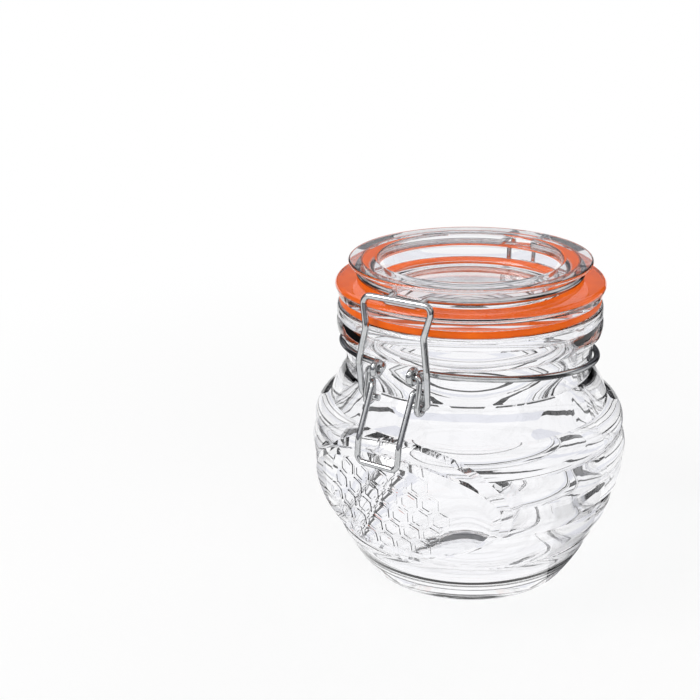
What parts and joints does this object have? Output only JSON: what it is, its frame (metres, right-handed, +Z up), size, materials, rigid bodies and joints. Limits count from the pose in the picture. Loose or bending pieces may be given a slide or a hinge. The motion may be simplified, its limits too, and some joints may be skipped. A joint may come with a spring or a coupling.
{
  "type": "honey pot",
  "caption": "Small round glass pot with ribbed sides, a clear hinged lid on a rubber ring, and a wire toggle clip at the front.",
  "frame": {"origin": "middle of the foot, on the plane that the pot stands on", "axes": "+Z up along the pot's axis, -Y towards the clip, +Y towards the hinge, +X to the right of someone facing the clip"},
  "size_m": [0.1034, 0.1073, 0.1062],
  "materials": {
    "jar_glass": "clear gloss",
    "lid_glass": "clear gloss",
    "seal_rubber": "satin",
    "wire": "bright plated"
  },
  "bodies": {
    "pot": {"jar": "jar_glass", "neck_wire": "wire"},
    "lid": {"lid_glass": "lid_glass", "seal": "seal_rubber", "lid_wire": "wire"},
    "lever": {"lever": "wire"},
    "bail": {"bail": "wire"}
  },
  "joints": [
    {"name": "lever_hinge", "type": "hinge", "parent": "pot", "child": "lever", "pos_m": [0, -0.04462, 0.08078], "axis": [-1, 0, 0], "range_deg": [0, 150]},
    {"name": "bail_hinge", "type": "hinge", "parent": "lever", "child": "bail", "pos_m": [0, -0.04472, 0.07158], "axis": [1, 0, 0], "range_deg": [0, 270]},
    {"name": "lid_hinge", "type": "hinge", "parent": "pot", "child": "lid", "pos_m": [0, 0.0466, 0.088], "axis": [-1, 0, 0], "range_deg": [0, 110]}
  ],
  "couplings": [
    {"joint": "bail_hinge", "follows": "lever_hinge", "ratio": 1.8},
    {"joint": "lid_hinge", "follows": "lever_hinge", "ratio": 0.73}
  ]
}
